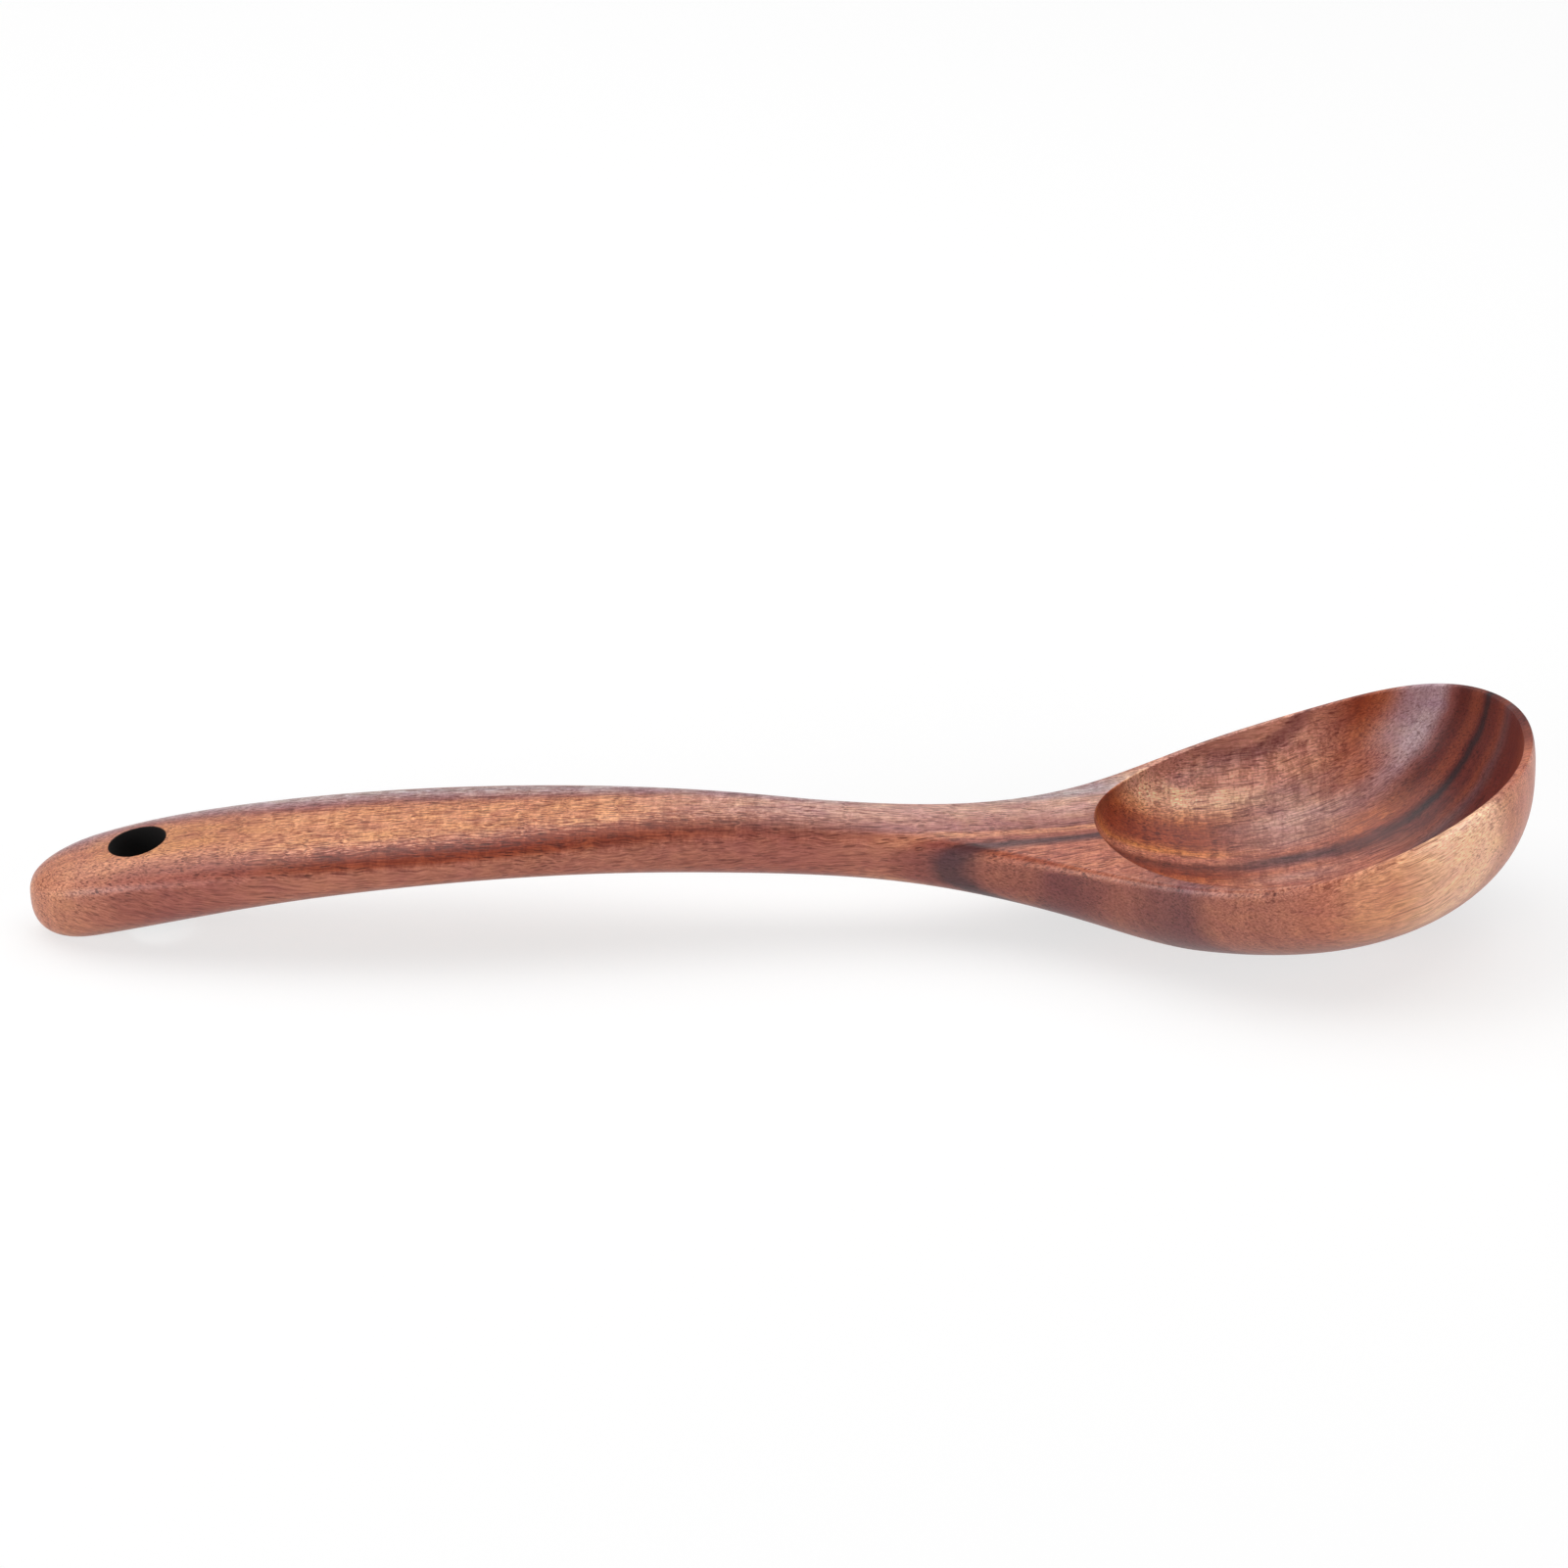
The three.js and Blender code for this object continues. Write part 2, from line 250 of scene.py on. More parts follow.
def noseUnderside(turn):
    # spokes from the middle of the bowl's underside out to the widest line round the nose
    outline = noseOutline(turn)[0]
    under = np.pi / 2 * np.arange(facets["underside"] // 2 + 1)[:, None] / (facets["underside"] // 2)
    reach = np.cos(under)**(2 / ladle["bowlUnderside"])
    plan = reach[..., None] * outline[None]
    station = place["widest"] + plan[..., 0]
    z = undersideHeight(np.minimum(station, ladle["length"] - shortOfTip), plan[..., 1])
    middle = topLine(station) - sideDropLine(station)
    z = np.where(reach > 1 - tiny, middle, z)
    return np.stack([station - halfLength, plan[..., 1], z], -1)


def hollowSizes(inFront):
    # length and fullness of the hollow before and behind the widest place, and its half width there
    front = noseLength - hollow["tipRim"]
    length = np.where(inFront, front, hollow["length"] - front)
    fullness = np.where(inFront, hollow["frontFullness"], hollow["backFullness"])
    return length, fullness, ladle["width"]["widest"] / 2 - hollow["sideRim"]


def hollowOutline(turn):
    # rounded outline of the hollow about the widest place, and its outward normal in plan
    length, full, side = hollowSizes(np.cos(turn) > 0)
    along, across = signedPower(np.cos(turn), 2 / full), signedPower(np.sin(turn), 2 / full)
    outward = np.stack([signedPower(along, full - 1) / length, signedPower(across, full - 1) / side], -1)
    outward /= np.linalg.norm(outward, axis=-1, keepdims=True)
    return np.stack([length * along, side * across], -1), outward


def turnTo(plan):
    # turn at which the spoke from the widest place through a plan point leaves the hollow
    length, full, side = hollowSizes(plan[:, 0] > 0)
    return np.arctan2(signedPower(plan[:, 1] / side, full / 2), signedPower(plan[:, 0] / length, full / 2))


def hollowGrid(border):
    # rows from the floor's middle up the rounded wall, over the eased edge and out to the rim's border
    plan = border[:, :2] - [place["widest"] - halfLength, 0]
    outline, outward = hollowOutline(turnTo(plan))
    edge = topHeight(place["widest"] + outline[:, 0], outline[:, 1])
    s = sectionAt(np.array([place["widest"]]))
    floor = (s["middle"] - s["fall"])[0] + hollow["floorThickness"]
    ease, power = hollow["edgeEase"], 2 / hollow["wallFullness"]
    depthShare = ease / (edge - floor)
    lastTurn = np.arccos(depthShare**(1 / power))
    turn = lastTurn[None] * np.linspace(0, 1, facets["wall"] + 1)[:, None]
    wallPlan = (np.sin(turn)**power)[..., None] * outline[None]
    wallZ = floor + (edge - floor)[None] * (1 - np.cos(turn)**power)
    bend = np.pi / 2 * (1 - np.arange(1, facets["ease"] + 1) / facets["ease"])[:, None]
    easePlan = outline[None] + (ease * (1 - np.sin(bend)))[..., None] * outward[None]
    easeZ = topHeight(place["widest"] + easePlan[..., 0], easePlan[..., 1]) - ease * (1 - np.cos(bend))
    out = (np.arange(1, facets["rim"] + 1) / facets["rim"])[:, None, None]
    rimPlan = easePlan[-1][None] * (1 - out) + plan[None] * out
    rimZ = topHeight(place["widest"] + rimPlan[..., 0], rimPlan[..., 1])
    rimZ[-1] = border[:, 2]
    allPlan = np.concatenate([wallPlan, easePlan, rimPlan])
    allZ = np.concatenate([wallZ, easeZ, rimZ])
    return np.stack([allPlan[..., 0] + place["widest"] - halfLength, allPlan[..., 1], allZ], -1)


def windowLoop(grid, row, column, rows, columns):
    # border of a rectangular window of a grid, once round
    a = grid[row, column:column + columns]
    b = grid[row:row + rows, column + columns]
    c = grid[row + rows, column + columns:column:-1]
    d = grid[row + rows:row:-1, column]
    return np.concatenate([a, b, c, d])


def boreAxis():
    # slope of the top at the hole, the middle of the bore's upper mouth, and the wood's height there
    station = np.array([hole["fromEnd"]])
    slope = float(topLine(station, True)[0])
    mouth = np.array([hole["fromEnd"] - halfLength, 0, float(topHeight(station, 0.0)[0])])
    return slope, mouth, float(mouth[2] - undersideHeight(station, 0.0)[0])


def holeGrid(topLoop, underLoop):
    # rows from the window in the top, over the eased edge, down the bore and out to the window below
    slope, mouth, thickness = boreAxis()
    tilt = math.atan(slope)
    down = np.array([math.sin(tilt), 0, -math.cos(tilt)])
    ahead = np.array([math.cos(tilt), 0, math.sin(tilt)])

    def onSurface(angle, radius, heightAt, depth):
        # depth along the bore at which a ring about its axis meets a surface, found in a few rounds
        ring = mouth + radius * (np.cos(angle)[:, None] * ahead + np.sin(angle)[:, None] * [0, 1, 0])
        for _ in range(hole["settleRounds"]):
            point = ring + depth[:, None] * down
            depth = depth + (point[:, 2] - heightAt(point[:, 0] + halfLength, point[:, 1])) / math.cos(tilt)
        return ring, depth

    radius, ease = hole["diameter"] / 2, hole["edgeEase"]
    mouths = ((topLoop, topHeight, 0.0, 1), (underLoop, undersideHeight, thickness, -1))
    ends = []
    for loop, heightAt, start, inward in mouths:
        angle = np.arctan2(loop[:, 1], (loop - mouth) @ ahead)
        rings = []
        outerRing, outerDepth = onSurface(angle, radius + ease, heightAt, np.full(len(angle), start))
        outer = outerRing + outerDepth[:, None] * down
        for out in np.linspace(0, 1, facets["holeRim"] + 1)[:-1]:
            plan = loop * (1 - out) + outer * out
            z = heightAt(plan[:, 0] + halfLength, plan[:, 1]) if out > 0 else loop[:, 2]
            rings.append(np.stack([plan[:, 0], plan[:, 1], z], -1))
        for bend in np.linspace(0, np.pi / 2, facets["ease"] + 1):
            ring, depth = onSurface(angle, radius + ease * (1 - math.sin(bend)), heightAt, outerDepth)
            rings.append(ring + (depth + inward * ease * (1 - math.cos(bend)))[:, None] * down)
        ends.append(np.array(rings))
    steps = np.linspace(0, 1, facets["holeWall"] + 1)[1:-1, None, None]
    topEnd, underEnd = ends[0][-1], ends[1][-1]
    bore = topEnd[None] * (1 - steps) + underEnd[None] * steps
    axisPoint = mouth + ((bore - mouth) @ down)[..., None] * down
    spoke = bore - axisPoint
    bore = axisPoint + spoke * (radius / np.linalg.norm(spoke, axis=-1, keepdims=True))
    return np.concatenate([ends[0], bore, ends[1][::-1]])


def buildLadle():
    seam = place["shoulder"] - hollow["seamBeforeShoulder"]
    quarter = np.pi / 2 * np.arange(facets["end"]) / facets["end"]
    stations = np.concatenate([
        ladle["endRounding"] * (1 - np.cos(quarter)),
        np.linspace(ladle["endRounding"], seam, facets["handle"] + 1)[:-1],
        np.linspace(seam, place["widest"], facets["shoulder"] + 1),
    ])
    grid = outsideGrid(stations)
    rows, columns = grid.shape[0] - 1, grid.shape[1]
    keep = np.ones((rows, columns), bool)
    seamRow = facets["end"] + facets["handle"]
    topStart, topStop = facets["corner"], facets["corner"] + facets["top"]
    keep[seamRow:, topStart:topStop] = False

    # windows for the hanging hole, above and below
    slope, mouth, thickness = boreAxis()
    topX, underX = mouth[0], mouth[0] + slope * thickness
    topColumn = topStart + facets["top"] // 2 - facets["holeColumns"] // 2
    underColumn = topStop + facets["corner"] + facets["underside"] // 2 - facets["holeColumns"] // 2
    loops = []
    for centre, column in ((topX, topColumn), (underX, underColumn)):
        row = int(np.argmin(np.abs(stations - halfLength - centre))) - facets["holeRows"] // 2
        keep[row:row + facets["holeRows"], column:column + facets["holeColumns"]] = False
        loops.append(windowLoop(grid, row, column, facets["holeRows"], facets["holeColumns"]))
    # the lower loop runs the same way round as the upper one and starts at the same angle
    topLoop, underLoop = loops[0], loops[1][::-1]
    startAngle = np.arctan2(topLoop[0, 1], topLoop[0, 0] - topX)
    apart = np.arctan2(underLoop[:, 1], underLoop[:, 0] - underX) - startAngle
    shift = int(np.argmin(np.abs((apart + np.pi) % (2 * np.pi) - np.pi)))
    underLoop = np.roll(underLoop, -shift, axis=0)

    shell = Shell()
    shell.add(grid, closed=True, keep=keep)
    turn = np.linspace(np.pi / 2, -np.pi / 2, 2 * facets["nose"] + 1)
    corner = noseCorner(turn)
    shell.add(corner)
    shell.add(noseUnderside(turn))
    # border of the rim's flat: round the nose, back along -Y, across the seam, and forward along +Y
    nearSide = grid[:seamRow - 1:-1, topStart]
    seamLine = grid[seamRow, topStart:topStop + 1]
    farSide = grid[seamRow:, topStop]
    border = np.concatenate([corner[-1], nearSide[1:], seamLine[1:], farSide[1:-1]])
    shell.add(hollowGrid(border), closed=True)
    shell.add(holeGrid(topLoop, underLoop), closed=True)
    piece = bpy.data.objects.new("carved_ladle", shell.mesh("carved_ladle"))
    bpy.context.scene.collection.objects.link(piece)
    print("ladle built:", len(piece.data.polygons), "faces")
    return piece


ladlePiece = buildLadle()
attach(ladlePiece, "root")
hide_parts("ladle")


# materials
def linear(hexColour):
    # sRGB hex to linear red, green, blue and alpha
    channels = np.array([int(hexColour[i:i + 2], 16) for i in (1, 3, 5)]) / 255
    values = np.where(channels <= 0.04045, channels / 12.92, ((channels + 0.055) / 1.055)**2.4)
    return (*values.tolist(), 1.0)


white = linear("#ffffff")


def addNode(tree, kind, settings=None, **links):
    # one node with its settings; i0, i1 ... are inputs by number, and a node stands for its first output
    node = tree.nodes.new("ShaderNode" + kind)
    for name, value in (settings or {}).items():
        if name == "stops":  # colour ramp: places from 0 to 1 with their colours
            elements = node.color_ramp.elements
            elements.remove(elements[1])
            elements[0].position, elements[0].color = value[0]
            for position, colour in value[1:]:
                elements.new(position).color = colour
        else:
            setattr(node, name, value)
    for name, value in links.items():
        key = int(name[1:]) if name[0] == "i" and name[1:].isdigit() else name.replace("_", " ")
        if isinstance(value, bpy.types.Node):
            value = value.outputs[0]
        if isinstance(value, bpy.types.NodeSocket):
            tree.links.new(value, node.inputs[key])
        else:
            node.inputs[key].default_value = value
    return node


def newMaterial(name):
    material = bpy.data.materials.new(name)
    material.use_nodes = True
    material.node_tree.nodes.clear()
    return material, material.node_tree


# oiled acacia, sawn so that its growth layers stand on edge, then carved, sanded and rubbed with oil:
# the layers run along the top as streaks of straw, tan, red and umber and sweep round inside the bowl,
# and open pores show as fine dark dashes along the fibres and as dots where the carving cuts across them
acacia = {
    # the lilac colour is a painted highlight, not a colour of the wood
    "colours": {"straw": "#ffcdaa", "honey": "#de9b76", "ginger": "#d4926a", "tan": "#cc896d",
                "salmon": "#e4a692", "blush": "#d8a99c", "lilacHighlight": "#b89ba7", "ashAndSheen": "#c0a0a2",
                "mistAndSheen": "#c8b8bc", "cocoa": "#a66053", "clay": "#be897d", "rose": "#c2775f",
                "fawn": "#b4705c", "mauve": "#ac746d", "amber": "#ca7c46", "cedar": "#b8643e",
                "russet": "#9a4428", "brick": "#84402f", "umber": "#8c5350", "plum": "#664042",
                "garnet": "#662a24", "soot": "#361d22"},
    # colours across the growth layers, by millimetres of layer, at nine places from the heel to the tip:
    # each set takes over from the one before it within its "from" in x, a closeUp set is drawn together
    # at the neck, and a carved set begins sooner where the back wall of the hollow faces forward; the ash
    # and mist bands on the far rounding of the handle and shoulder are grey wood partly painted with sheen
    "layers": [
        {"closeUp": True, "bands": [
            (-22, "cocoa"), (-15, "fawn"), (-11, "tan"), (0, "tan"), (3, "clay"), (6, "ashAndSheen"), (11, "mistAndSheen"),
            (15, "fawn")]},
        {"closeUp": True, "from": (-152, -134), "bands": [
            (-22, "cocoa"), (-14, "cocoa"), (-11, "fawn"), (-9, "tan"), (-6, "ginger"), (1.5, "ginger"),
            (4.5, "tan"), (7, "mauve"), (10, "ashAndSheen"), (13, "mistAndSheen"), (15.5, "fawn")]},
        {"closeUp": True, "from": (-126, -96), "bands": [
            (-22, "fawn"), (-15, "fawn"), (-11.5, "tan"), (-9, "ginger"), (-6, "honey"), (2, "honey"),
            (4.5, "tan"), (6.5, "mauve"), (9.5, "ashAndSheen"), (12.5, "mistAndSheen"), (15.5, "fawn")]},
        {"closeUp": True, "from": (-44, 6), "bands": [
            (-22, "cocoa"), (-14, "cocoa"), (-10.5, "mauve"), (-5, "clay"), (-1, "blush"), (4, "blush"),
            (7, "ashAndSheen"), (12, "ashAndSheen"), (15, "mauve")]},
        {"from": (4, 30), "bands": [
            (-13.5, "rose"), (-11.8, "plum"), (-10.7, "plum"), (-9.7, "cocoa"), (-8.8, "cocoa"),
            (-7.8, "tan"), (-6.8, "tan"), (-5.9, "mauve"), (-4.2, "mauve"), (-2.2, "clay"), (0.3, "blush"),
            (6, "blush"), (10, "mistAndSheen"), (14, "ashAndSheen"), (20, "tan")]},
        {"from": (68, 86), "carved": True, "bands": [
            (-42, "fawn"), (-38.5, "umber"), (-30, "umber"), (-25, "rose"), (-13, "rose"), (-10.5, "cedar"),
            (-8.5, "russet"), (-6, "brick"), (-4.6, "brick"), (-3.4, "rose"), (-2, "rose"), (-0.5, "amber"),
            (1, "cedar"), (3, "russet"), (6.5, "russet"), (9, "cedar"), (11.5, "honey"), (13.5, "straw"),
            (15.5, "straw"), (18, "salmon"), (24, "clay")]},
        {"from": (90, 112), "bands": [
            (-62, "straw"), (-58, "honey"), (-54, "rose"), (-50, "fawn"), (-44, "fawn"), (-38, "umber"),
            (-31, "umber"), (-26, "rose"), (-15, "rose"), (-11, "clay"), (-8, "rose"), (-6, "umber"),
            (-4.8, "plum"), (-3.4, "plum"), (-2.2, "rose"), (1, "clay"), (4, "clay"), (7.5, "blush"),
            (10, "clay"), (14, "clay"), (16.5, "salmon"), (20.2, "salmon"), (21.2, "mauve"), (21.9, "mauve"),
            (22.4, "salmon"), (24, "clay")]},
        {"from": (112, 128), "bands": [
            (-62, "honey"), (-56, "honey"), (-50, "tan"), (-44, "rose"), (-34, "rose"), (-20, "fawn"),
            (-15, "fawn"), (-11.5, "rose"), (-9, "fawn"), (-7.4, "brick"), (-6, "garnet"), (-4.4, "garnet"),
            (-3.2, "russet"), (-1.5, "cedar"), (1, "cedar"), (3, "fawn"), (5, "mauve"), (7.5, "mauve"),
            (10, "rose"), (13, "rose"), (15, "cedar"), (18, "russet")]},
        {"from": (126, 141), "bands": [
            (-60, "straw"), (-53, "straw"), (-49, "tan"), (-44, "rose"), (-36, "rose"), (-28, "brick"),
            (-22, "garnet"), (-17, "garnet"), (-14, "plum"), (-11.5, "brick"), (-9.2, "garnet"),
            (-7, "garnet"), (-6, "soot"), (-5.2, "soot"), (-4.2, "garnet"), (-3.2, "brick"), (-1.4, "brick"),
            # the lilac band here is a painted highlight on the front inside wall of the bowl
            (0.2, "garnet"), (2, "garnet"), (4, "umber"), (6.5, "lilacHighlight"), (12, "lilacHighlight"), (15, "fawn"),
            (18, "brick")]},
    ],
    "layerSpan": (-70, 40),
    # how much closer the handle's layers stand at the neck, how far ahead a wall that faces forward is
    # coloured, how the layers lean and turn aside into the bowl, and how far they swing to and fro
    "squeeze": {"start": -85, "stop": 20, "share": 0.9},
    "carving": {"steep": 0.6, "ahead": 20},
    "sweep": {"start": 10, "stop": 110, "bend": 0.0015, "fan": 0.3, "lean": 0.12, "level": 20},
    "sway": {"waver": 2.2, "ripple": 1.2},
    # where the fibres begin to climb towards both ends, how fast, and how far they curl
    "fibres": {"heelStart": -95, "heelRun": 45, "tipStart": 105, "tipRun": 55, "climb": 0.006, "curl": 2.2},
    # noise patterns: size of one speck along x, y and z in millimetres, rounds of finer detail and their
    # weight; one hair stands for a bundle of the finer fibres of real wood, so that it shows in a picture
    "patterns": {
        "waver": {"size": (60, 24, 16), "detail": 1, "roughness": 0.5},
        "ripple": {"size": (14, 6, 4), "detail": 2, "roughness": 0.5},
        "curl": {"size": (6, 15, 12), "detail": 1, "roughness": 0.5},
        "patches": {"size": (7, 4, 4), "detail": 2, "roughness": 0.5},
        "streaks": {"size": (60, 1.3, 26), "detail": 4, "roughness": 0.6},
        "hairs": {"size": (4, 0.30, 0.36), "detail": 3, "roughness": 0.7},
        "grain": {"size": (12, 0.6, 0.55), "detail": 2, "roughness": 0.5},
        "bars": {"size": (2, 10, 7), "detail": 2, "roughness": 0.5},
        "ticks": {"size": (0.6, 0.9, 0.8), "detail": 2, "roughness": 0.5},
        "drifts": {"size": (40, 3, 10), "detail": 2, "roughness": 0.5},
    },
    # stains: where a pattern is darkest and lightest, and its tints there in red, green and blue
    "stains": {
        "patches": {"bounds": (0.3, 0.7), "dark": (0.93, 0.87, 0.96), "light": (1.07, 1.12, 1.02)},
        "streaks": {"bounds": (0.28, 0.72), "dark": (0.82, 0.74, 0.75), "light": (1.17, 1.18, 1.16)},
        "hairs": {"bounds": (0.32, 0.68), "dark": (0.64, 0.50, 0.48), "light": (1.36, 1.48, 1.48)},
        "grain": {"bounds": (0.33, 0.46), "dark": (0.60, 0.50, 0.52), "light": (1.05, 1.06, 1.06)},
        "figure": {"bounds": (0, 1), "dark": (0.80, 0.70, 0.68), "light": (1.20, 1.28, 1.26)},
    },
    "bars": {"bounds": (0.43, 0.57), "weight": 0.45}, "ticks": {"bounds": (0.3, 0.7), "weight": 0.8},
    # upward share of a normal that counts as a top, and how lively the sides are beside it
    "facingUp": 0.4, "sideCalm": 0.75,
    # strengths from 0 to 1 by place along the ladle: curly figure, pores, painted shade on the handle's
    # edges, painted highlight on the edges of the heel and the rim, painted shade on the sides of the
    # shoulder, and painted grey sheen on the far rim
    "figure": [(-125, 0.1), (-95, 0.5), (-40, 0.6), (-5, 0.5), (25, 0.15), (70, 0.4), (88, 0.8), (118, 0.7),
               (132, 0.1)],
    "pores": [(-160, 0.9), (60, 0.9), (95, 0.8), (115, 0.5), (160, 0.4)],
    "edges": [(-128, 0.1), (-95, 0.9), (-50, 1.0), (-20, 0.8), (8, 0.5), (27, 0.15), (42, 0.5), (55, 0.6),
              (75, 0.0)],
    "paleHighlight": [(-158, 0.4), (-140, 1.0), (-122, 0.7), (-100, 0.0), (70, 0.0), (90, 0.5), (160, 0.6)],
    "flankShade": [(22, 0.0), (38, 0.45), (44, 0.55), (53, 0.55), (57, 1.0), (63, 1.0), (67, 0.75), (72, 0.5),
               (82, 0.4), (92, 0.0)],
    "rim": [(40, 0.0), (70, 1.0)],
    # tints of these features, partly the wood's own tone and partly painted shade, highlight and sheen; those
    # of the handle's edges go by how far the surface faces up
    "edgeShadeTints": [(0.32, "#ffffff"), (0.56, "#d0a48c"), (0.72, "#c28a6c"), (0.82, "#b67e62"),
                  (0.90, "#b4785c"), (0.94, "#d8b0a0"), (0.97, "#ffffff")],
    "paleHighlightTint": (1.25, 1.42, 1.55), "flankShadeTint": "#a798b9", "rimSheenTint": "#cbbac6",
    # where the painted highlight on the edges lies, by facing up and outwards, where the painted grey sheen
    # of the rim lies, by facing +Y, and how much the hairs fray the borders of the edges
    "paleHighlightFacing": [(0.05, 0), (0.3, 1), (0.6, 1), (0.85, 0)], "outside": (1, 5), "noseMiddle": 116,
    "rimSheenFacing": (0.1, 0.4), "ragged": 0.5,
    # pores: length and width of one pore's share of the wood, its border, its faintest tone and its drifts;
    # they are drawn about 0.3 mm wide, twice as coarse as in real wood, so that they show in a picture
    "pore": {"size": (3.8, 0.44, 0.44), "border": (0.46, 0.32), "faintest": 0.1, "drifts": (0.35, 0.65),
             "thinnest": 0.5, "tint": "#6c4038"},
    # bore: painted shade, its dark tone setting in between these distances past the radius, in millimetres
    "bore": {"border": (0.3, 0.1), "tint": "#0c0a0a", "roughness": 0.9},
    "satin": {"bounds": (0.25, 0.75), "roughness": (0.40, 0.33), "refraction": 1.5, "specular": 0.4},
    "relief": {"hairs": 0.15, "strength": 0.25, "height": 0.0002},  # height of the bumps in metres
}
noiseMiddle = 0.5  # middle level of a noise pattern


class Wood:
    # nodes of the wood, with places and sizes in millimetres
    def __init__(self, tree):
        self.add = partial(addNode, tree)
        spot = self.add("TexCoord")
        self.point = self.add("VectorMath", {"operation": "SCALE"}, i0=spot.outputs["Object"], Scale=1 / mm)
        self.x, self.y, self.z = self.add("SeparateXYZ", Vector=self.point).outputs
        self.turnX, self.turnY, self.turnZ = self.add("SeparateXYZ", Vector=spot.outputs["Normal"]).outputs
        self.along = self.ranged(self.x, (-halfLength, halfLength))
        # the top and the hollow cut the layers open and show the most; the sides and outer wall are calmer
        self.upward = self.ranged(self.turnZ, (0, acacia["facingUp"]), eased=True)
        self.calm = self.ranged(self.upward, (0, 1), (acacia["sideCalm"], 1))
        self.layer = self.growthLayer()
        self.fibre = self.fibreSpace()
        self.streaks = self.pattern("streaks", self.fibre)
        self.hairs = self.pattern("hairs", self.fibre)

    def calc(self, operation, *values):
        inputs = {f"i{n}": value for n, value in enumerate(values)}
        return self.add("Math", {"operation": operation}, **inputs)

    def ranged(self, value, source, target=(0, 1), eased=False):
        # value carried from one range into another and held at its ends, straight or easing in and out
        kind = {"interpolation_type": "SMOOTHSTEP" if eased else "LINEAR"}
        return self.add("MapRange", kind, Value=value, From_Min=source[0], From_Max=source[1],
                        To_Min=target[0], To_Max=target[1])

    def scaled(self, vector, size):
        return self.add("VectorMath", {"operation": "DIVIDE"}, i0=vector, i1=size)

    def pattern(self, name, vector):
        # one noise pattern drawn out by its sizes
        noise = acacia["patterns"][name]
        return self.add("TexNoise", Vector=self.scaled(vector, noise["size"]), Scale=1,
                        Detail=noise["detail"], Roughness=noise["roughness"])

    def strength(self, name):
        # strength of one feature by its place along the ladle
        stops = [((at + halfLength) / ladle["length"], (v, v, v, 1)) for at, v in acacia[name]]
        return self.add("ValToRGB", {"stops": stops}, Fac=self.along)

    def multiplied(self, colour, tint):
        return self.add("VectorMath", {"operation": "MULTIPLY"}, i0=colour, i1=tint)

    def tinted(self, colour, amount, tint):
        # colour times a tint where the amount is 1, and left alone where it is 0
        return self.multiplied(colour, self.add("MixRGB", Fac=amount, Color1=white, Color2=tint))

    def stained(self, colour, name, value):
        # colour darker where the value is low and lighter where it is high, less so where the surface is calm
        stain = acacia["stains"][name]
        level = self.ranged(self.ranged(self.calm, (0, 1), (noiseMiddle, value)), stain["bounds"])
        tint = self.add("MixRGB", Fac=level, Color1=(*stain["dark"], 1), Color2=(*stain["light"], 1))
        return self.multiplied(colour, tint)

    def growthLayer(self):
        # y leaning with height, swept aside by a square law into the bowl, then swinging a little to and fro
        sweep = acacia["sweep"]
        start, stop, level = sweep["start"], sweep["stop"], sweep["level"] * sweep["lean"]
        run = self.ranged(self.x, (start, stop), (0, stop - start))
        fan = self.ranged(self.x, (stop, halfLength), (level, level + sweep["fan"] * (halfLength - stop)))
        aside = self.calc("MULTIPLY_ADD", self.calc("MULTIPLY", run, run), sweep["bend"], fan)
        leaning = self.calc("MULTIPLY_ADD", self.z, sweep["lean"], self.y)
        layer = self.calc("SUBTRACT", leaning, aside)
        for name, width in acacia["sway"].items():
            swing = self.calc("MULTIPLY_ADD", self.pattern(name, self.point), width, -width / 2)
            layer = self.calc("ADD", layer, swing)
        return layer

    def fibreSpace(self):
        # fibres run along x, climb by a square law towards both ends and curl a little up and down
        fibres = acacia["fibres"]
        heel = self.ranged(self.x, (fibres["heelStart"], -halfLength), (0, fibres["heelRun"]))
        tip = self.ranged(self.x, (fibres["tipStart"], halfLength), (0, fibres["tipRun"]))
        ends = self.calc("ADD", heel, tip)
        curled = self.calc("MULTIPLY_ADD", self.pattern("curl", self.point), fibres["curl"], self.z)
        height = self.calc("MULTIPLY_ADD", self.calc("MULTIPLY", ends, ends), -fibres["climb"], curled)
        return self.add("CombineXYZ", X=self.x, Y=self.layer, Z=height)

    def banded(self):
        # colour of the growth layers, one set of bands after the other along the ladle
        low, high = acacia["layerSpan"]
        squeeze, carving = acacia["squeeze"], acacia["carving"]
        closer = self.ranged(self.x, (squeeze["start"], squeeze["stop"]), (1, 1 + squeeze["share"]))
        across = self.ranged(self.layer, (low, high))
        squeezed = self.ranged(self.calc("MULTIPLY", self.layer, closer), (low, high))
        lifted = self.ranged(self.turnX, (0, carving["steep"]), (0, carving["ahead"]))
        carved = self.calc("ADD", self.x, lifted)
        colour = None
        for stretch in acacia["layers"]:
            stops = []
            for at, name in stretch["bands"]:
                stops.append(((at - low) / (high - low), linear(acacia["colours"][name])))
            bands = self.add("ValToRGB", {"stops": stops}, Fac=squeezed if "closeUp" in stretch else across)
            if colour is None:
                colour = bands
            else:
                reached = self.ranged(carved if "carved" in stretch else self.x, stretch["from"], eased=True)
                colour = self.add("MixRGB", Fac=reached, Color1=colour, Color2=bands)
        return colour

    def figured(self, colour):
